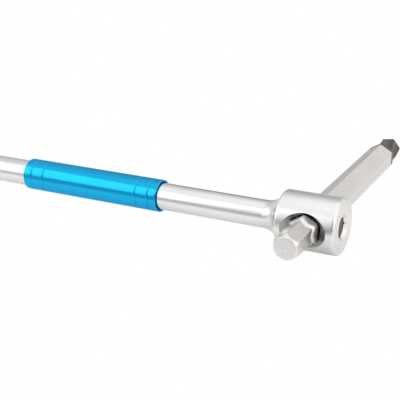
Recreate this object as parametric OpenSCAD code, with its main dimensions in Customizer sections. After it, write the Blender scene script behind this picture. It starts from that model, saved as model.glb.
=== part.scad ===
// Sliding T-handle hex wrench: a round shaft with a free-turning sleeve and a hex key end,
// and a forged head whose hexagonal cross bore guides a sliding bar with two working ends.
// Origin: the centre of the key end's face, which meets the bottom of a screw's socket.
// +X runs along the shaft to the head, +Y along the bar to its gripper tip, +Z is up.
// Millimetres. The modules measure X from the bar axis, and on_bar_axis() moves them there.

/* [Shaft] */
// Diameter of the round shaft
shaft_d = 9.5; // [9.4:0.05:9.6]
// Distance from the bar axis to the tip of the key end
shaft_length = 200; // [160:1:260]
// Across-flats size of the hex key end and of the bar's plain hex end
key_af = 8; // [7.6:0.1:8]
// Length of the hex key end
key_length = 16; // [10:1:24]

/* [Head] */
// Diameter of the head
head_d = 19; // [18.4:0.1:20]
// Distance from the bar axis to the head's end face
head_front = 10.4; // [10.2:0.1:11.5]
// Distance from the bar axis to the shoulder over the neck
head_back = 10; // [9.8:0.1:11]
// Chamfer round the end face
rim_chamfer = 0.6; // [0.2:0.1:0.8]
// Rounding of the shoulder's outer edge
shoulder_round = 0.9; // [0.6:0.1:1.5]
// Radius of the neck's hollow curve between the shaft and the shoulder
neck_round = 6.8; // [4:0.1:7]

/* [Cross bore] */
// Across-flats size of the hexagonal bore
bore_af = 9.8; // [9.8:0.1:10]
// Radius of the countersinks, measured where the bar's axis leaves the head
countersink_r = 7.75; // [7.2:0.05:8]

/* [Sliding bar] */
// Across-flats size of the bar
bar_af = 9.2; // [8.8:0.1:9.2]
// Distance from the shaft axis to the bar's square end
bar_far = 74.1; // [60:0.1:110]
// Distance from the shaft axis to the start of the cone that ends the bar's full hexagon
bar_near = 9.2; // [9:0.1:12]
// Distance from the shaft axis to the end face of the plain hex end
plain_end = 23.8; // [20:0.1:30]

/* [Gripper tip] */
// Across-flats size of the twisted hexagon
grip_af = 7.75; // [7:0.05:8]
// Length of the twisted hexagon
grip_length = 10.6; // [8:0.1:14]
// Left-hand twist over the whole length, in degrees
grip_twist = 38; // [20:1:60]
// Thickness of the collar, which has the bar's hexagon
collar_t = 2; // [1:0.1:3]

/* [Speed sleeve] */
// Outer diameter of the sleeve
sleeve_d = 11.36; // [11.3:0.02:12]
// Distance from the bar axis to the sleeve's end nearest the head
sleeve_start = 55.5; // [40:0.5:80]
// Length of the sleeve
sleeve_length = 56; // [40:1:70]
// Distance of the outer grooves from the sleeve's ends
outer_groove = 3.4; // [2:0.1:5]
// Distance of the inner grooves from the sleeve's ends
inner_groove = 8.4; // [7:0.1:12]
// Depth of the grooves
groove_depth = 0.25; // [0.1:0.05:0.25]

/* [Friction detent] */
// Diameter of the ball
ball_d = 2.5; // [2.4:0.1:2.5]
// Diameter of the staked plug
plug_d = 7; // [6:0.1:7.4]
// Depth of the plug's face below the head's end face
plug_recess = 1; // [0.8:0.1:1.1]

/* [Hidden] */
$fn = 96;

// Clearances and small features
over = 1;                       // how far a cutter runs past the face that it cuts
run_gap = 0.05;                 // radial clearance of a running or snap fit
side_gap = 0.3;                 // axial clearance beside a bushing
tip_angle = 30;                 // slope of a driving end's chamfer, from its axis
tip_face_r = 3.65;              // radius of the flat face left on a driving end
cone_small_r = key_af / 2;      // a shank's cone runs down to the key hexagon's flats
cone_length = 3;
key_start = key_length - shaft_length;

shaft_r = shaft_d / 2;
head_r = head_d / 2;
// The neck's hollow curve meets the shoulder's rounding at one tangent point
shoulder_x = shoulder_round - head_back;
shoulder_r = head_r - shoulder_round;
neck_r = shaft_r + neck_round;
neck_x = shoulder_x - sqrt(pow(neck_round + shoulder_round, 2) - pow(neck_r - shoulder_r, 2));
tangent_r = shoulder_r + shoulder_round * (neck_r - shoulder_r) / (neck_round + shoulder_round);
bar_corner_r = bar_af / sqrt(3);

// Bushings, one in each mouth of the sleeve, each snapped into a groove in the shaft
bushing_l = 4;
bushing_recess = 0.8;           // from the sleeve's end face to the bushing
bushing_outer_r = 5.05;
seat_r = 3.9;                   // bottom of the shaft's groove
bushing_slit = 1.6;
mouth_r = bushing_outer_r + run_gap;
mouth_depth = bushing_recess + bushing_l + side_gap;
sleeve_bore_r = shaft_r + 2 * run_gap;
sleeve_end = sleeve_start + sleeve_length;
sleeve_chamfer = 0.3;
groove_cutter_r = 0.45;
head_bushing_x = -sleeve_start - bushing_recess - bushing_l / 2;
key_bushing_x = -sleeve_end + bushing_recess + bushing_l / 2;

// Friction detent, stacked along the shaft axis from the bar's flat to the end face
ball_r = ball_d / 2;
ball_x = bar_af / 2 + run_gap + ball_r;
ball_hole_r = ball_r + 0.1;
ball_lip_r = ball_r - 0.12;     // the lip that keeps the ball in when the bar is out
lip_x = bore_af / 2;
lip_height = 0.3;
plug_t = 0.8;
plug_x = head_front - plug_recess - plug_t;
wire_d = 0.3;
coil_r = 1;
coil_turns = 3;
coil_sides = 8;
coil_steps = 24;
recess_slope = 45;              // the recess in front of the plug opens outwards
stake_r = 0.3;
punch_r = 0.9;
punch_out = 0.7;                // how far the punch's centre stays in front of the face
punch_ring_r = plug_d / 2 + plug_recess * tan(recess_slope) + 0.4;
spring_gap = 0.02;              // left at both ends of the spring

// Gripper tip's shank, pressed into the bar's hexagonal socket
shank_af = 6.35;
shank_l = 12;
socket_l = 12.5;
collar_chamfer = 0.35;          // at its corners, on the tip's side
centre_mark_r = 0.8;
centre_mark_depth = 0.25;

// Helix of the detent spring: wire rings along a coil around X
coil_x0 = ball_x + sqrt(pow(ball_r + wire_d / 2, 2) - coil_r * coil_r) + spring_gap;
coil_x1 = plug_x - wire_d / 2 - spring_gap;

function on_coil(i) =
    let (part = i / (coil_turns * coil_steps), turn = 360 * i / coil_steps)
    [coil_x0 + (coil_x1 - coil_x0) * part, coil_r * cos(turn), coil_r * sin(turn)];

function wire_ring(i) =
    let (centre = on_coil(i), turn = 360 * i / coil_steps)
    [for (k = [0 : coil_sides - 1])
        let (a = 360 * k / coil_sides, out = wire_d / 2 * cos(a))
        centre + [wire_d / 2 * sin(a), out * cos(turn), out * sin(turn)]];

// A hexagonal prism along Y with corners up and down
module hex_y(af, y0, y1) {
    translate([0, y1, 0]) rotate([90, 0, 0]) rotate(30)
        cylinder(h = y1 - y0, r = af / sqrt(3), $fn = 6);
}

// A hexagonal prism along X with corners up and down
module hex_x(af, x0, x1) {
    translate([x0, 0, 0]) rotate([0, 90, 0])
        cylinder(h = x1 - x0, r = af / sqrt(3), $fn = 6);
}

// Round bar or cone along Y, from y0 to y1
module round_y(y0, y1, r0, r1) {
    translate([0, y0, 0]) rotate([-90, 0, 0]) cylinder(h = y1 - y0, r1 = r0, r2 = r1);
}

// Round bar or cone along X, from x0 to x1
module round_x(x0, x1, r0, r1) {
    translate([x0, 0, 0]) rotate([0, 90, 0]) cylinder(h = x1 - x0, r1 = r0, r2 = r1);
}

// Radius of a driving end's chamfer at a distance from its end face
function chamfer_r(distance) = tip_face_r + distance * tan(tip_angle);

// Moves what it holds from the bar axis at X = 0 to the bar's place on the shaft
module on_bar_axis() {
    translate([shaft_length, 0, 0]) children();
}

// Outline of the forging for turning about its axis: radius across, X upwards
module forging_outline() {
    difference() {
        union() {
            translate([0, key_start]) square([shaft_r, -key_start]);
            translate([0, neck_x]) square([tangent_r, shoulder_x - neck_x]);
            translate([shoulder_r, shoulder_x]) circle(shoulder_round);
            polygon([
                [0, shoulder_x], [head_r, shoulder_x], [head_r, head_front - rim_chamfer],
                [head_r - rim_chamfer, head_front], [0, head_front]
            ]);
        }
        translate([neck_r, neck_x]) circle(neck_round);
    }
}

// Groove in the shaft that holds a bushing
module bushing_seat(x) {
    length = bushing_l + 2 * run_gap;
    difference() {
        round_x(x - length / 2, x + length / 2, shaft_r + over, shaft_r + over);
        round_x(x - length, x + length, seat_r, seat_r);
    }
}

// Cutter for the countersink at one mouth of the cross bore
module countersink() {
    round_y(head_r - countersink_r, head_r + over, 0, countersink_r + over);
}

// Cutter for the widening mouth of the plug's hole
module recess() {
    round_x(head_front - plug_recess, head_front + over, plug_d / 2,
            plug_d / 2 + (plug_recess + over) * tan(recess_slope));
}

// Shaft, head and hex key end, forged in one piece
module shaft_and_head() {
    color("silver") on_bar_axis() {
        difference() {
            union() {
                rotate([0, 90, 0]) rotate_extrude() forging_outline();
                round_x(key_start - cone_length / 2, key_start, cone_small_r, shaft_r);
                intersection() {
                    hex_x(key_af, -shaft_length, key_start);
                    round_x(-shaft_length, key_start, tip_face_r, chamfer_r(key_length));
                }
            }
            bushing_seat(head_bushing_x);
            bushing_seat(key_bushing_x);
            hex_y(bore_af, -head_r - over, head_r + over);
            countersink();
            mirror([0, 1, 0]) countersink();
            round_x(lip_x - over, plug_x + over, ball_lip_r, ball_lip_r);
            round_x(lip_x + lip_height, plug_x + over, ball_hole_r, ball_hole_r);
            round_x(plug_x, plug_x + plug_t + over, plug_d / 2, plug_d / 2);
            recess();
            for (a = [0 : 90 : 270]) rotate([a, 0, 0])
                translate([head_front + punch_out, punch_ring_r, 0]) sphere(punch_r);
        }
        for (a = [0 : 90 : 270]) rotate([a, 0, 0])
            translate([plug_x + plug_t + stake_r, plug_d / 2, 0]) sphere(stake_r);
    }
}

// Aluminium sleeve that spins on the shaft, with two grooves near each end
module speed_sleeve() {
    outer_r = sleeve_d / 2;
    color("deepskyblue") on_bar_axis()
        translate([-sleeve_end, 0, 0]) rotate([0, 90, 0]) rotate_extrude()
            difference() {
                polygon([
                    [mouth_r, 0], [outer_r - sleeve_chamfer, 0], [outer_r, sleeve_chamfer],
                    [outer_r, sleeve_length - sleeve_chamfer],
                    [outer_r - sleeve_chamfer, sleeve_length], [mouth_r, sleeve_length],
                    [mouth_r, sleeve_length - mouth_depth],
                    [sleeve_bore_r, sleeve_length - mouth_depth],
                    [sleeve_bore_r, mouth_depth], [mouth_r, mouth_depth]
                ]);
                for (place = [outer_groove, inner_groove], end = [place, sleeve_length - place])
                    translate([outer_r + groove_cutter_r - groove_depth, end])
                        circle(groove_cutter_r, $fn = 32);
            }
}

// Split plastic ring that the sleeve runs on
module bushing(x) {
    color("black") on_bar_axis() difference() {
        round_x(x - bushing_l / 2, x + bushing_l / 2, bushing_outer_r, bushing_outer_r);
        round_x(x - bushing_l, x + bushing_l, seat_r + run_gap, seat_r + run_gap);
        translate([x, 0, -bushing_outer_r])
            cube([2 * bushing_l, bushing_slit, 2 * bushing_outer_r], center = true);
    }
}

module head_side_bushing() {
    bushing(head_bushing_x);
}

module key_side_bushing() {
    bushing(key_bushing_x);
}

// Hexagonal bar with a smaller plain hex end, and a socket for the gripper tip
module sliding_bar() {
    color("silver") on_bar_axis() difference() {
        union() {
            intersection() {
                hex_y(bar_af, -bar_near - cone_length, bar_far);
                union() {
                    round_y(-bar_near - cone_length, -bar_near, cone_small_r, bar_corner_r);
                    round_y(-bar_near, bar_far, bar_corner_r + over, bar_corner_r + over);
                }
            }
            intersection() {
                hex_y(key_af, -plain_end, -bar_near);
                round_y(-plain_end, -bar_near, tip_face_r, chamfer_r(plain_end - bar_near));
            }
        }
        hex_y(shank_af, bar_far - socket_l, bar_far + over);
        translate([0, -plain_end - centre_mark_r + centre_mark_depth, 0]) sphere(centre_mark_r);
    }
}

// Collar that starts at y0, with its front corners turned down
module collar(y0) {
    front_r = bar_corner_r - collar_chamfer;
    intersection() {
        hex_y(bar_af, y0, y0 + collar_t);
        round_y(y0, y0 + collar_t, front_r + collar_t, front_r);
    }
}

// Twisted hexagon that bites into a worn socket, with its collar and shank
module gripper_tip() {
    grip_y = bar_far + collar_t;
    color("dimgray") on_bar_axis() {
        hex_y(shank_af, bar_far - shank_l, grip_y);
        collar(bar_far);
        translate([0, grip_y, 0]) rotate([-90, 0, 0])
            linear_extrude(height = grip_length, twist = grip_twist, slices = 24, segments = 6)
                rotate(30) circle(grip_af / sqrt(3), $fn = 6);
    }
}

module detent_ball() {
    color("lightgray") on_bar_axis() translate([ball_x, 0, 0]) sphere(ball_r);
}

// Compression spring between the ball and the plug
module detent_spring() {
    last = coil_turns * coil_steps;
    sides = coil_sides;
    color("gray") on_bar_axis() polyhedron(
        points = [for (i = [0 : last]) each wire_ring(i)],
        faces = concat(
            [[for (k = [0 : sides - 1]) k]],
            [for (i = [0 : last - 1], k = [0 : sides - 1])
                [i * sides + k, (i + 1) * sides + k,
                 (i + 1) * sides + (k + 1) % sides, i * sides + (k + 1) % sides]],
            [[for (k = [sides - 1 : -1 : 0]) last * sides + k]]
        )
    );
}

// Disc staked into the end face, which closes the detent
module detent_plug() {
    color("dimgray") on_bar_axis() round_x(plug_x, plug_x + plug_t, plug_d / 2, plug_d / 2);
}

shaft_and_head();
speed_sleeve();
head_side_bushing();
key_side_bushing();
sliding_bar();
gripper_tip();
detent_ball();
detent_spring();
detent_plug();
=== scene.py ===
import math

import bpy
import numpy as np
from mathutils import Matrix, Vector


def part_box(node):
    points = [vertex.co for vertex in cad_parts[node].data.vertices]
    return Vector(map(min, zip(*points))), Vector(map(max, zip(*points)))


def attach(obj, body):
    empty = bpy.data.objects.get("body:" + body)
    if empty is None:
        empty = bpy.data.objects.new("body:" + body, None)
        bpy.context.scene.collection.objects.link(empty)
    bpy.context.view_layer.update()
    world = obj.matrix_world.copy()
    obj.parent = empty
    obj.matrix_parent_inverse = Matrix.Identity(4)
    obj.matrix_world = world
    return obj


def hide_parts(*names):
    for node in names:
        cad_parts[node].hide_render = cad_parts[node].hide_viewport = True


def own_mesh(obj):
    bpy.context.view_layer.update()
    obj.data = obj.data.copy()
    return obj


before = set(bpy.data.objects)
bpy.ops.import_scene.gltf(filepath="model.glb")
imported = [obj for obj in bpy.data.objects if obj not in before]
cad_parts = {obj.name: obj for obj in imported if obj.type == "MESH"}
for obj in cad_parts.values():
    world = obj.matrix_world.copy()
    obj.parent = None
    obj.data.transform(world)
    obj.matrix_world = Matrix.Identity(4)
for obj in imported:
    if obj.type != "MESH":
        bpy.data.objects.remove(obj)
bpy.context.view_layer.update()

# Sizes are in millimetres, with X measured from the bar axis, as in the CAD.
MM = 0.001
AROUND = 192                    # points round a turned or milled piece
TURNS = np.linspace(0, 2 * math.pi, AROUND, endpoint=False)
QUARTERS = np.radians([0, 90, 180, 270])


def span(node, axis):
    """Where a CAD node starts and ends along an axis, in millimetres."""
    low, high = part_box(node)
    return low[axis] / MM, high[axis] / MM


BAR_X = sum(span("sliding_bar", 0)) / 2
SHAFT_START = span("shaft_and_head", 0)[0] - BAR_X
HEAD_FRONT = span("shaft_and_head", 0)[1] - BAR_X
HEAD_R = span("shaft_and_head", 2)[1]
HEAD_BACK = -10                 # where the head's shoulder starts
SHOULDER_ROUND = 0.9
NECK_ROUND = 6.8
RIM_CHAMFER = 0.6
# The rim's softened outline, as (x, drop) from where its chamfer starts.
WORN_RIM = ((-0.45, 0), (-0.2, 0.02), (-0.02, 0.07), (0.12, 0.15), (0.5, 0.53), (0.58, 0.64),
            (0.6, 0.74))
SHAFT_R = 4.75
SEAT_R = 3.9                    # bottom of the grooves that hold the bushings
SEAT_LENGTH = 4.1
SEAT_PLACE = 2.8                # from the sleeve's end to the middle of a seat
KEY_AF = 8                      # across the flats of both plain driving ends
KEY_LENGTH = 16
END_FACE_R = 3.65
END_SLOPE = math.tan(math.radians(30))
BORE_AF = 9.8
COUNTERSINK_R = 7.75
PLUG_START, PLUG_FACE = (x - BAR_X for x in span("detent_plug", 0))
PLUG_R = span("detent_plug", 1)[1]
RECESS_MOUTH_R = PLUG_R + HEAD_FRONT - PLUG_FACE       # the recess opens at 45 degrees
STAKE_R = 0.3                   # lugs that hold the plug
PUNCH_R = 0.9                   # ball-nosed punch that raised them
PUNCH_OUT = 0.7                 # how far the punch's middle stayed outside the end face
PUNCH_RING_R = RECESS_MOUTH_R + 0.4
BALL_HOLE_R = 1.35
BALL_LIP_R = 1.13               # the lip that stops the ball from falling into the bore
LIP_HEIGHT = 0.3
COIL_R = 1
COIL_TURNS = 3
WIRE_R = 0.15

PLAIN_END, BAR_END = span("sliding_bar", 1)
BAR_AF = 2 * (span("sliding_bar", 0)[1] - BAR_X)
BAR_CORNER_R = BAR_AF / math.sqrt(3)
BAR_NEAR = -9.2                 # where the bar is full size, after the cone
BAR_CONE = 3                    # length of the cone
BAR_CONE_SLOPE = (BAR_CORNER_R - KEY_AF / 2) / BAR_CONE
MARK_R = 0.8                    # ball-shaped centre mark
MARK_DEPTH = 0.25
SHANK_AF = 6.35                 # the tip's shank, inside the bar
SHANK_START, GRIP_END = span("gripper_tip", 1)
SOCKET_DEPTH = 12.5
COLLAR_END = BAR_END + 2
COLLAR_CHAMFER = 0.35
GRIP_AF = 7.75
GRIP_TWIST = math.radians(38)

SLEEVE_START, SLEEVE_END = (x - BAR_X for x in span("speed_sleeve", 0))
SLEEVE_R = span("speed_sleeve", 1)[1]
SLEEVE_EDGE = 0.3
SLEEVE_BORE_R = 4.85
MOUTH_R = 5.1                   # wider bore at each end, over a bushing
MOUTH_DEPTH = 5.1
MOUTH_EDGE = 0.22
GROOVES = (3.4, 8.4)            # from the sleeve's end
GROOVE_DEPTH = 0.25
GROOVE_ROUND = 0.45


# ---- outlines ----

def soft_min(a, b, blend=0.05):
    """The smaller of two radii, with the corner between them rounded."""
    near = np.clip(blend - np.abs(a - b), 0, None) / blend
    return np.minimum(a, b) - near * near * blend / 4


def soft_max(a, b, blend=0.05):
    """The larger of two radii, with the corner between them rounded."""
    return -soft_min(-a, -b, blend)


def circle(radius):
    """The same radius all the way round."""
    return radius * np.ones(AROUND)


def hexagon(across_flats):
    """Radii of a hexagon with a flat at angle 0 and slightly rounded corners."""
    off = np.abs((TURNS + math.pi / 6) % (math.pi / 3) - math.pi / 6)
    return across_flats / 2 / soft_max(np.cos(off), np.cos(math.pi / 3 - off))


def arc(centre, radius, start, stop, steps=8):
    """Points (x, r) on an arc, with angles in degrees from the x direction."""
    return [(centre[0] + radius * math.cos(a), centre[1] + radius * math.sin(a))
            for a in np.radians(np.linspace(start, stop, steps + 1))]


def line(start, stop, steps):
    """Points (x, r) on a straight line, without the first one."""
    return [tuple(p) for p in np.linspace(start, stop, steps + 1)[1:]]


# ---- meshes ----

def smooth(piece):
    """Smooth shading, with sharp edges where the faces turn by more than 32 degrees."""
    piece.data.shade_smooth()
    piece.data.set_sharp_from_angle(angle=math.radians(32))


def make_piece(name, points, faces):
    """A new object from points in millimetres measured from the bar axis."""
    mesh = bpy.data.meshes.new(name)
    mesh.from_pydata([tuple(p) for p in points], [], faces)
    mesh.transform(Matrix.Scale(MM, 4) @ Matrix.Translation((BAR_X, 0, 0)))
    piece = bpy.data.objects.new(name, mesh)
    bpy.context.scene.collection.objects.link(piece)
    smooth(piece)
    return piece


def loft(name, rings, axis, closed=False):
    """A skin over rings round an axis. A ring is its place along the axis, its radius and,
    if it is turned, the angle. The place and the radius may vary round the ring. An open
    loft ends in a point in the middle of each end."""
    points = []
    for place, radius, *turn in rings:
        angles = TURNS + sum(turn)
        along = np.broadcast_to(place, TURNS.shape)
        across, up = radius * np.cos(angles), radius * np.sin(angles)
        columns = (along, across, up) if axis == "x" else (across, along, up)
        points += list(zip(*columns))
    faces = []
    count = len(rings)
    for i in range(count if closed else count - 1):
        here, there = i * AROUND, (i + 1) % count * AROUND
        for j in range(AROUND):
            k = (j + 1) % AROUND
            faces.append((here + j, here + k, there + k, there + j))
    for ring in () if closed else (0, count - 1):
        middle = np.mean(points[ring * AROUND:(ring + 1) * AROUND], axis=0)
        points.append(middle)
        for j in range(AROUND):
            corner = (ring * AROUND + j, ring * AROUND + (j + 1) % AROUND)
            faces.append((*(corner if ring else corner[::-1]), len(points) - 1))
    if axis == "y":
        faces = [face[::-1] for face in faces]
    return make_piece(name, points, faces)


def cut(piece, cutter):
    """Takes the cutter out of the piece. The cut faces get the cutter's material."""
    modifier = piece.modifiers.new("cut", "BOOLEAN")
    modifier.operation = "DIFFERENCE"
    modifier.solver = "EXACT"
    modifier.material_mode = "TRANSFER"
    modifier.object = cutter
    graph = bpy.context.evaluated_depsgraph_get()
    result = bpy.data.meshes.new_from_object(piece.evaluated_get(graph))
    piece.modifiers.clear()
    piece.data = result
    bpy.data.objects.remove(cutter)
    smooth(piece)


def paint(piece, finish, other=None, is_other=None):
    """Gives a piece its finish, and the faces that is_other picks their own."""
    piece.data.materials.append(finish)
    if other:
        piece.data.materials.append(other)
        for face in piece.data.polygons:
            face.material_index = int(is_other(face))


# ---- pieces ----

def driving_end(face, length, outline):
    """Rings of a hexagonal end from the middle of its face inwards, towards +. The outline
    gives the radii behind the end's own chamfer at a distance from the face."""
    worn, worn_depth = 0.08, 0.04   # the rounding of the face's edge
    near_face = [0.01, 0.03, 0.06, 0.1, 0.15]
    step = 0.1
    rings = [(face, circle(r)) for r in np.linspace(0.8, END_FACE_R - 0.1, 8)]
    for depth in [*near_face, *np.arange(0.2, length, step), length]:
        chamfer = END_FACE_R + depth * END_SLOPE - worn * math.exp(-depth / worn_depth)
        rings.append((face + depth, soft_min(outline(depth), circle(chamfer))))
    return rings


def key_outline(depth):
    """The key hexagon, then the cone that leads up to the round shaft."""
    run = 1.5                       # length of the cone
    cone = KEY_AF / 2 + (depth - KEY_LENGTH + run) * (SHAFT_R - KEY_AF / 2) / run
    return soft_max(hexagon(KEY_AF), circle(min(cone, SHAFT_R)))


def bushing_seat(middle):
    """Points (x, r) of a square groove in the shaft."""
    left, right = middle - SEAT_LENGTH / 2, middle + SEAT_LENGTH / 2
    return [(left, SHAFT_R), (left, SEAT_R), (right, SEAT_R), (right, SHAFT_R)]


def neck():
    """Points (x, r) of the hollow curve from the shaft into the rounded shoulder. The two
    arcs meet on the line between their centres."""
    shoulder = (HEAD_BACK + SHOULDER_ROUND, HEAD_R - SHOULDER_ROUND)
    hollow_r = SHAFT_R + NECK_ROUND
    drop = hollow_r - shoulder[1]
    reach = NECK_ROUND + SHOULDER_ROUND
    hollow = (shoulder[0] - math.sqrt(reach ** 2 - drop ** 2), hollow_r)
    meet = math.degrees(math.asin(drop / reach))
    return (arc(hollow, NECK_ROUND, -90, -meet, 24)
            + arc(shoulder, SHOULDER_ROUND, 180 - meet, 90, 10)[1:])


def rim():
    """Points (x, r) of the chamfer round the end face, which polishing has softened."""
    return [(HEAD_FRONT - RIM_CHAMFER + x, HEAD_R - drop) for x, drop in WORN_RIM]


def end_face_ring(radius):
    """A ring on the head's end face, dented by the four punch marks of the stakes."""
    places = circle(HEAD_FRONT)
    for turn in QUARTERS:
        away = np.hypot(radius * np.cos(TURNS) - PUNCH_RING_R * math.cos(turn),
                        radius * np.sin(TURNS) - PUNCH_RING_R * math.sin(turn))
        dent = np.sqrt(np.clip(PUNCH_R ** 2 - away ** 2, 0, None)) - PUNCH_OUT
        places -= np.clip(dent, 0, None)
    return places, circle(radius)


def recess_ring(x):
    """A ring on the recess's slope, with the lugs that the stakes raise over the plug."""
    depth = x - PLUG_FACE
    radii = circle(PLUG_R + depth)
    for turn in QUARTERS:
        side = PLUG_R * ((TURNS - turn + math.pi) % (2 * math.pi) - math.pi)
        lug = STAKE_R ** 2 - side ** 2 - (depth - STAKE_R) ** 2
        radii = np.where(lug > 0, np.minimum(radii, PLUG_R - np.sqrt(np.abs(lug))), radii)
    return x, radii


def detent_hole():
    """Rings from the head's end face in through the recess and the plug's hole to the bore."""
    rim_r = HEAD_R - RIM_CHAMFER - 0.3
    dented_r = 5.9                  # the punch marks lie inside this radius
    corner = 0.03                   # bevel between the end face and the recess
    rings = [end_face_ring(r) for r in np.linspace(rim_r, dented_r + 0.1, 4)]
    rings += [end_face_ring(r) for r in np.linspace(dented_r, RECESS_MOUTH_R + corner, 24)]
    rings += [recess_ring(x) for x in np.linspace(HEAD_FRONT - corner, PLUG_FACE, 20)]
    lip = BORE_AF / 2 + LIP_HEIGHT
    in_bore = BORE_AF / 2 - 1       # past the flat that the cross bore will have
    steps = [(PLUG_START, PLUG_R), (PLUG_START, BALL_HOLE_R), (lip, BALL_HOLE_R),
             (lip, BALL_LIP_R), (in_bore, BALL_LIP_R)]
    return rings + [(x, circle(r)) for x, r in steps]


def cross_bore():
    """Cutter for the hexagonal bore and the countersinks at its two mouths."""
    reach = HEAD_R + 1.5            # past the head on both sides
    inner = HEAD_R - COUNTERSINK_R + BORE_AF / 2 - 0.1      # just before a countersink starts
    step = 0.08
    mouth = [*np.arange(inner, reach, step), reach]
    middle = list(np.linspace(-inner, inner, 9))[1:-1]
    rings = []
    for y in [-place for place in reversed(mouth)] + middle + mouth:
        cone = circle(abs(y) - HEAD_R + COUNTERSINK_R)
        rings.append((y, soft_max(hexagon(BORE_AF), cone)))
    return loft("cross_bore", rings, "y")


def shaft_and_head():
    """The shaft, the neck and the head in one, with the cross bore cut through the head."""
    key_length = KEY_LENGTH + 1
    rings = driving_end(SHAFT_START, key_length, key_outline)
    profile = [(SHAFT_START + key_length + 0.5, SHAFT_R)]
    for seat in (SLEEVE_START + SEAT_PLACE, SLEEVE_END - SEAT_PLACE):
        groove_points = bushing_seat(seat)
        profile += line(profile[-1], groove_points[0], 12) + groove_points[1:]
    bend = neck()
    profile += line(profile[-1], bend[0], 12) + bend[1:]
    front = rim()
    profile += line(profile[-1], front[0], 24) + front[1:]
    rings += [(x, circle(r)) for x, r in profile] + detent_hole()
    piece = loft("wrench_shaft_and_head", rings, "x")

    def is_faced(face):
        x, y, z = face.center / MM
        in_recess = x - BAR_X > PLUG_FACE and math.hypot(y, z) < RECESS_MOUTH_R
        return abs(face.normal.x) > 0.99 or in_recess

    paint(piece, chrome, faced, is_faced)
    cutter = cross_bore()
    paint(cutter, unplated)
    cut(piece, cutter)
    return piece


def bar_outline(depth):
    """The plain hexagon, then the cone that leads up to the full bar."""
    cone = KEY_AF / 2 + (PLAIN_END + depth - BAR_NEAR + BAR_CONE) * BAR_CONE_SLOPE
    return soft_max(hexagon(KEY_AF), soft_min(hexagon(BAR_AF), circle(max(cone, 1))))


def sliding_bar():
    """The centre mark, the plain end, the full bar, and the socket that the shank fills."""
    mark_rim = math.sqrt(MARK_R ** 2 - (MARK_R - MARK_DEPTH) ** 2)
    rings = []
    for r in np.linspace(0.1, mark_rim, 6):
        depth = math.sqrt(MARK_R ** 2 - r ** 2) - (MARK_R - MARK_DEPTH)
        rings.append((PLAIN_END + depth, circle(r)))
    rings += driving_end(PLAIN_END, BAR_NEAR - PLAIN_END + 0.2, bar_outline)
    full = hexagon(BAR_AF)
    shank = hexagon(SHANK_AF)
    edge = 0.1                      # bevel round the far end
    socket_floor = BAR_END - SOCKET_DEPTH
    rings += [(y, full) for y in np.linspace(BAR_NEAR + 0.4, BAR_END - edge, 40)]
    rings += [(BAR_END, full - edge), (BAR_END, shank)]
    rings += [(socket_floor, shank), (socket_floor, circle(0.5))]
    piece = loft("wrench_sliding_bar", rings, "y")

    def is_faced(face):
        x, y, z = face.center / MM
        in_mark = y < PLAIN_END + MARK_DEPTH and math.hypot(x - BAR_X, z) < MARK_R
        return abs(face.normal.y) > 0.99 or in_mark

    paint(piece, plated, faced, is_faced)
    return piece


def gripper_tip():
    """The shank inside the bar, the collar, then the twisted hexagon."""
    shank = hexagon(SHANK_AF)
    collar = hexagon(BAR_AF)
    edge = 0.12                     # bevel where the collar meets the bar
    rings = [(SHANK_START, shank * s) for s in (0.2, 0.9)]
    rings += [(SHANK_START + 0.3, shank), (BAR_END, shank)]
    rings += [(BAR_END, collar - edge), (BAR_END + edge, collar)]
    front_r = BAR_CORNER_R - COLLAR_CHAMFER
    for y in np.linspace(BAR_END + 0.2, COLLAR_END, 20):
        rings.append((y, soft_min(collar, circle(front_r + COLLAR_END - y))))
    grip = hexagon(GRIP_AF)
    length = GRIP_END - COLLAR_END
    end_r = GRIP_AF / math.sqrt(3) - 0.2
    for depth in np.linspace(0, length, 72):
        end_chamfer = circle(end_r + length - depth)
        rings.append((COLLAR_END + depth, soft_min(grip, end_chamfer),
                      GRIP_TWIST * depth / length))
    rings += [(GRIP_END, grip * s, GRIP_TWIST) for s in (0.9, 0.5, 0.1)]
    piece = loft("wrench_gripper_tip", rings, "y")
    paint(piece, oxide)
    return piece


def groove(x):
    """Points (x, r) of one round-bottomed groove in the sleeve."""
    centre = (x, SLEEVE_R + GROOVE_ROUND - GROOVE_DEPTH)
    half = math.degrees(math.acos((GROOVE_ROUND - GROOVE_DEPTH) / GROOVE_ROUND))
    return arc(centre, GROOVE_ROUND, -90 - half, -90 + half, 12)


def speed_sleeve():
    """The outside with its grooves from left to right, and back through the stepped bore."""
    left, right = SLEEVE_START, SLEEVE_END
    edge_r = SLEEVE_R - SLEEVE_EDGE
    profile = [(left, MOUTH_R + MOUTH_EDGE)]
    profile += arc((left + SLEEVE_EDGE, edge_r), SLEEVE_EDGE, 180, 90, 6)
    for place in [left + g for g in GROOVES] + [right - g for g in reversed(GROOVES)]:
        hollow = groove(place)
        profile += line(profile[-1], hollow[0], 4) + hollow[1:]
    profile += line(profile[-1], (right - SLEEVE_EDGE, SLEEVE_R), 4)
    profile += arc((right - SLEEVE_EDGE, edge_r), SLEEVE_EDGE, 90, 0, 6)[1:]
    profile += [(right, MOUTH_R + MOUTH_EDGE), (right - MOUTH_EDGE, MOUTH_R)]
    profile += [(right - MOUTH_DEPTH, MOUTH_R), (right - MOUTH_DEPTH, SLEEVE_BORE_R)]
    profile += [(left + MOUTH_DEPTH, SLEEVE_BORE_R), (left + MOUTH_DEPTH, MOUTH_R)]
    profile += [(left + MOUTH_EDGE, MOUTH_R)]
    piece = loft("wrench_speed_sleeve", profile, "x", closed=True)
    paint(piece, blue)
    return piece


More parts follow.
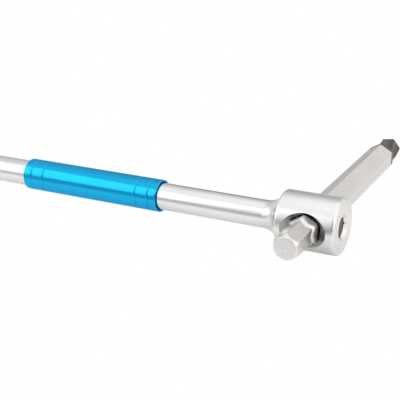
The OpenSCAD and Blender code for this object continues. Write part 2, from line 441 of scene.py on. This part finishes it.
def detent_plug():
    """A disc with a bevel round both faces."""
    edge = 0.15
    middle_r = 0.3                  # smallest ring of a face
    rings = [(PLUG_START, r) for r in (middle_r, PLUG_R - edge)]
    rings += [(PLUG_START + edge, PLUG_R), (PLUG_FACE - edge, PLUG_R)]
    rings += [(PLUG_FACE, r) for r in np.linspace(PLUG_R - edge, middle_r, 8)]
    piece = loft("wrench_detent_plug", rings, "x")
    paint(piece, phosphated)
    return piece


def detent_spring():
    """Round wire wound round the shaft axis, from the ball to the plug."""
    low, high = (x - BAR_X for x in span("detent_spring", 0))
    sides = 16                      # points round the wire
    steps = 48                      # rings in one turn
    last = COIL_TURNS * steps
    points = []
    faces = [range(sides), range(last * sides, (last + 1) * sides)[::-1]]
    for i, x in enumerate(np.linspace(low + WIRE_R, high - WIRE_R, last + 1)):
        turn = 2 * math.pi * i / steps
        for k in range(sides):
            a = 2 * math.pi * k / sides
            out = COIL_R + WIRE_R * math.cos(a)
            points.append((x + WIRE_R * math.sin(a), out * math.cos(turn), out * math.sin(turn)))
            if i < last:
                here, there = i * sides, (i + 1) * sides
                near, far = k, (k + 1) % sides
                faces.append((here + near, there + near, there + far, here + far))
    piece = make_piece("wrench_detent_spring", points, [tuple(face) for face in faces])
    paint(piece, wire)
    return piece


# ---- materials ----

NOISE_LOW, NOISE_HIGH = 0.3, 0.7        # nearly all of a noise texture lies between these


def material(name, base, roughness, metallic=1.0):
    """A new material, with its node tree and its Principled node."""
    result = bpy.data.materials.new(name)
    result.use_nodes = True
    shader = result.node_tree.nodes["Principled BSDF"]
    shader.inputs["Base Color"].default_value = (*base, 1)
    shader.inputs["Roughness"].default_value = roughness
    shader.inputs["Metallic"].default_value = metallic
    return result, result.node_tree, shader


def noise(tree, scale, detail=4.0, stretch=(1, 1, 1)):
    """Noise over the object's own coordinates, which are in metres."""
    place = tree.nodes.new("ShaderNodeTexCoord")
    mapping = tree.nodes.new("ShaderNodeMapping")
    mapping.inputs["Scale"].default_value = stretch
    texture = tree.nodes.new("ShaderNodeTexNoise")
    texture.inputs["Scale"].default_value = scale
    texture.inputs["Detail"].default_value = detail
    tree.links.new(place.outputs["Object"], mapping.inputs["Vector"])
    tree.links.new(mapping.outputs["Vector"], texture.inputs["Vector"])
    return texture.outputs["Fac"]


def remap(tree, value, low, high, from_low=NOISE_LOW, from_high=NOISE_HIGH):
    """The value, stretched from one range to another and held inside it."""
    node = tree.nodes.new("ShaderNodeMapRange")
    node.inputs["From Min"].default_value = from_low
    node.inputs["From Max"].default_value = from_high
    node.inputs["To Min"].default_value = low
    node.inputs["To Max"].default_value = high
    tree.links.new(value, node.inputs["Value"])
    return node.outputs["Result"]


def ramp(tree, value, stops):
    """A colour that follows the value: stops are (value, colour)."""
    node = tree.nodes.new("ShaderNodeValToRGB")
    elements = node.color_ramp.elements
    while len(elements) < len(stops):
        elements.new(0.5)
    for element, (place, colour) in zip(elements, stops):
        element.position = place
        element.color = (*colour, 1)
    tree.links.new(value, node.inputs["Fac"])
    return node.outputs["Color"]


def bump(tree, shader, value, distance):
    """Relief that follows the value, with its height in metres."""
    node = tree.nodes.new("ShaderNodeBump")
    node.inputs["Strength"].default_value = 0.5
    node.inputs["Distance"].default_value = distance
    tree.links.new(value, node.inputs["Height"])
    tree.links.new(node.outputs["Normal"], shader.inputs["Normal"])


def worked_metal(name, dark, light, roughness, marks, mark_depth=2e-6):
    """Metal with tool marks: marks gives how often they repeat along each axis, per metre."""
    result, tree, shader = material(name, light, roughness)
    stains = ramp(tree, noise(tree, 90, 3), [(NOISE_LOW, dark), (NOISE_HIGH, light)])
    tree.links.new(stains, shader.inputs["Base Color"])
    grain = noise(tree, 1, 1, marks)
    tree.links.new(remap(tree, grain, roughness * 0.93, roughness * 1.08),
                   shader.inputs["Roughness"])
    bump(tree, shader, grain, mark_depth)
    return result


def anodised_blue():
    """Blue anodised aluminium under its clear sealed film, with fine turning marks."""
    result, tree, shader = material("blue_anodising", (0, 0.32, 0.6), 0.16)
    shader.inputs["Specular Tint"].default_value = (0, 0.85, 0.95, 1)
    dye = ramp(tree, noise(tree, 120, 3),
               [(NOISE_LOW, (0.0, 0.315, 0.59)), (NOISE_HIGH, (0.0, 0.335, 0.62))])
    tree.links.new(dye, shader.inputs["Base Color"])
    grain = noise(tree, 1, 2, (1800, 50, 50))
    tree.links.new(remap(tree, grain, 0.13, 0.2), shader.inputs["Roughness"])
    bump(tree, shader, grain, 1.5e-6)
    shader.inputs["Coat Weight"].default_value = 0.25
    shader.inputs["Coat Roughness"].default_value = 0.1
    shader.inputs["Coat IOR"].default_value = 1.5
    return result


def black_oxide():
    """Black oxide over steel: nearly black, with brown traces and an oily sheen."""
    result, tree, shader = material("black_oxide_steel", (0.07, 0.065, 0.06), 0.3)
    traces = ramp(tree, noise(tree, 260, 5),
                  [(NOISE_LOW, (0.05, 0.048, 0.046)), (NOISE_HIGH, (0.1, 0.082, 0.075))])
    tree.links.new(traces, shader.inputs["Base Color"])
    tree.links.new(remap(tree, noise(tree, 1400, 3), 0.24, 0.42), shader.inputs["Roughness"])
    bump(tree, shader, noise(tree, 3500, 4), 6e-6)
    return result


def moulded_black():
    """Dull black acetal, for the bushings."""
    result, tree, shader = material("black_acetal", (0.012, 0.012, 0.012), 0.5, metallic=0)
    tree.links.new(remap(tree, noise(tree, 900), 0.42, 0.6), shader.inputs["Roughness"])
    bump(tree, shader, noise(tree, 5000, 3), 4e-6)
    return result


TURNED = (1500, 40, 50)         # marks that ring the shaft axis
DRAWN = (600, 15, 600)          # marks that run along the bar
EVEN = (900, 900, 900)          # fine grain with no direction

chrome = worked_metal("satin_chrome", (0.595, 0.597, 0.603), (0.635, 0.635, 0.638), 0.17, TURNED)
faced = worked_metal("faced_steel", (0.60, 0.585, 0.58), (0.66, 0.65, 0.645), 0.42, EVEN, 4e-6)
unplated = worked_metal("thin_plating", (0.45, 0.475, 0.48), (0.53, 0.55, 0.555), 0.14, DRAWN)
plated = worked_metal("plated_hexagon", (0.58, 0.56, 0.54), (0.63, 0.61, 0.59), 0.27, DRAWN,
                      3e-7)
polished = worked_metal("polished_ball", (0.60, 0.60, 0.62), (0.66, 0.66, 0.68), 0.08, EVEN,
                        5e-7)
wire = worked_metal("spring_wire", (0.30, 0.30, 0.31), (0.42, 0.42, 0.43), 0.3, EVEN, 3e-6)
phosphated = worked_metal("dark_phosphate", (0.04, 0.037, 0.032), (0.07, 0.065, 0.056), 0.45,
                          EVEN, 6e-6)
blue = anodised_blue()
oxide = black_oxide()
acetal = moulded_black()


def stand_in(piece, body, node):
    """Puts a made piece in the place of its CAD node."""
    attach(piece, body)
    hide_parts(node)


stand_in(shaft_and_head(), "shaft", "shaft_and_head")
stand_in(speed_sleeve(), "sleeve", "speed_sleeve")
stand_in(sliding_bar(), "bar", "sliding_bar")
stand_in(gripper_tip(), "bar", "gripper_tip")
stand_in(detent_plug(), "shaft", "detent_plug")

spring = detent_spring()
stand_in(spring, "shaft", "detent_spring")
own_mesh(spring)

KEPT = {"head_side_bushing": acetal, "key_side_bushing": acetal, "detent_ball": polished}
for node_name, finish in KEPT.items():
    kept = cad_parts[node_name]
    kept.data.materials.clear()
    kept.data.materials.append(finish)


# ---- studio ----

def seen_white(tree, shader, white, output):
    """Shows plain white to the camera and the given shader to everything else."""
    rays = tree.nodes.new("ShaderNodeLightPath")
    chooser = tree.nodes.new("ShaderNodeMixShader")
    white.inputs["Color"].default_value = (1, 1, 1, 1)
    tree.links.new(rays.outputs["Is Camera Ray"], chooser.inputs["Fac"])
    tree.links.new(shader, chooser.inputs[1])
    tree.links.new(white.outputs[0], chooser.inputs[2])
    tree.links.new(chooser.outputs["Shader"], output.inputs["Surface"])


def floor():
    """A small white table top. The camera sees it as plain white, with no shadow."""
    gap = 0.0001                    # keeps the wrench clear of the table
    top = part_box("shaft_and_head")[0].z - gap
    left, right, front, back = -0.1, 0.34, -0.03, 0.04
    corners = [(left, front, top), (right, front, top), (right, back, top), (left, back, top)]
    mesh = bpy.data.meshes.new("floor")
    mesh.from_pydata(corners, [], [(0, 1, 2, 3)])
    plane = bpy.data.objects.new("floor", mesh)
    bpy.context.scene.collection.objects.link(plane)
    paper, tree, shader = material("white_table", (0.87, 0.85, 0.835), 0.9, metallic=0)
    shader.inputs["Specular IOR Level"].default_value = 0.1
    shader.inputs["Emission Color"].default_value = (1, 1, 1, 1)
    shader.inputs["Emission Strength"].default_value = 0.20
    white = tree.nodes.new("ShaderNodeEmission")
    seen_white(tree, shader.outputs["BSDF"], white, tree.nodes["Material Output"])
    mesh.materials.append(paper)


# Brightness of the white walls, by elevation and azimuth in degrees as seen from the wrench.
# Azimuth 0 is straight in front, and -90 is towards the key end.
AZIMUTHS = (-180, -155, -120, -90, -40, -20, 20, 60, 90, 120, 160, 180)
WALLS = {
    -25: (1.10, 1.05, 1.05, 1.15, 1.27, 1.27, 1.25, 1.20, 1.15, 1.10, 1.08, 1.10),
    -12: (0.95, 0.80, 1.10, 1.10, 0.95, 0.85, 0.85, 1.10, 1.15, 1.10, 1.00, 0.95),
    -3: (0.65, 0.58, 1.10, 1.05, 0.88, 0.57, 0.40, 1.00, 1.20, 1.00, 0.75, 0.65),
    8: (0.90, 0.38, 1.10, 1.10, 1.05, 0.75, 0.15, 1.40, 1.80, 1.40, 1.00, 0.90),
    22: (1.15, 0.50, 1.00, 1.10, 1.20, 1.18, 0.20, 1.60, 1.90, 1.60, 1.25, 1.15),
    36: (0.65, 0.80, 0.95, 1.10, 1.35, 1.38, 0.60, 1.60, 1.70, 1.50, 0.70, 0.65),
    50: (1.25, 1.14, 0.95, 1.12, 1.40, 1.42, 1.40, 1.50, 1.50, 1.40, 1.25, 1.25),
    64: (1.50, 1.52, 1.40, 1.40, 1.40, 1.42, 1.45, 1.50, 1.50, 1.50, 1.50, 1.50),
    75: (1.50,) * 12,
}
BRIGHTEST = 2                   # brightness that a ramp's white stands for


def calculate(tree, operation, *values):
    """A Math node on sockets and numbers."""
    node = tree.nodes.new("ShaderNodeMath")
    node.operation = operation
    for socket, value in zip(node.inputs, values):
        if isinstance(value, (int, float)):
            socket.default_value = value
        else:
            tree.links.new(value, socket)
    return node.outputs["Value"]


def blend(tree, factor, a, b):
    """Colour a where the factor is 0, and b where it is 1."""
    node = tree.nodes.new("ShaderNodeMix")
    node.data_type = "RGBA"
    tree.links.new(factor, node.inputs["Factor"])
    tree.links.new(a, node.inputs[6])
    tree.links.new(b, node.inputs[7])
    return node.outputs[2]


def studio():
    """White walls, darker near the horizon in front and behind. The camera sees them white."""
    world = bpy.data.worlds.new("studio")
    bpy.context.scene.world = world
    world.use_nodes = True
    tree = world.node_tree
    place = tree.nodes.new("ShaderNodeTexCoord")
    parts = tree.nodes.new("ShaderNodeSeparateXYZ")
    tree.links.new(place.outputs["Generated"], parts.inputs["Vector"])
    toward = calculate(tree, "MULTIPLY", parts.outputs["Y"], -1)
    azimuth = calculate(tree, "ARCTAN2", parts.outputs["X"], toward)
    turn = remap(tree, azimuth, 0, 1, -math.pi, math.pi)
    elevation = calculate(tree, "ARCSINE", parts.outputs["Z"])
    below = None
    for height, row in WALLS.items():
        stops = [((a + 180) / 360, [light / BRIGHTEST] * 3) for a, light in zip(AZIMUTHS, row)]
        wall = ramp(tree, turn, stops)
        if below is None:
            walls = wall
        else:
            share = remap(tree, elevation, 0, 1, math.radians(below), math.radians(height))
            walls = blend(tree, share, walls, wall)
        below = height
    light = tree.nodes["Background"]
    light.inputs["Strength"].default_value = BRIGHTEST
    tree.links.new(walls, light.inputs["Color"])
    white = tree.nodes.new("ShaderNodeBackground")
    seen_white(tree, light.outputs["Background"], white, tree.nodes["World Output"])


def window():
    """A large soft panel to the front left. It stands upright, 1 m from the wrench."""
    azimuth = math.radians(-54)
    bottom, top, width = 0.18, 1.257, 1.14
    height = top - bottom
    radiance = 1.05
    light = bpy.data.lights.new("window", "AREA")
    light.shape = "RECTANGLE"
    light.size = width
    light.size_y = height
    light.energy = radiance * math.pi * width * height
    light.color = (0.97, 0.99, 1.0)
    panel = bpy.data.objects.new("window", light)
    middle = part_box("shaft_and_head")[1] / 2
    panel.location = (middle.x + math.sin(azimuth), -math.cos(azimuth), (bottom + top) / 2)
    panel.rotation_euler = (math.pi / 2, 0, azimuth)
    bpy.context.scene.collection.objects.link(panel)


def camera():
    """Looks down at the head from the front right, with the key end out of view."""
    place = (0.29586, -0.26481, 0.11438)
    azimuth, elevation, roll = (math.radians(a) for a in (27.31, 20.84, -0.64))
    back = (math.sin(azimuth) * math.cos(elevation), -math.cos(azimuth) * math.cos(elevation),
            math.sin(elevation))
    up = (-math.sin(azimuth) * math.sin(elevation), math.cos(azimuth) * math.sin(elevation),
          math.cos(elevation))
    right = (math.cos(azimuth), math.sin(azimuth), 0)
    turn = Matrix((right, up, back)).transposed() @ Matrix.Rotation(roll, 3, "Z")
    lens = bpy.data.cameras.new("camera")
    lens.lens = 83.82
    lens.sensor_width = 36
    lens.clip_start = 0.01
    eye = bpy.data.objects.new("camera", lens)
    eye.matrix_world = Matrix.Translation(place) @ turn.to_4x4()
    bpy.context.scene.collection.objects.link(eye)
    bpy.context.scene.camera = eye


floor()
studio()
window()
camera()
bpy.context.scene.view_settings.view_transform = "Standard"
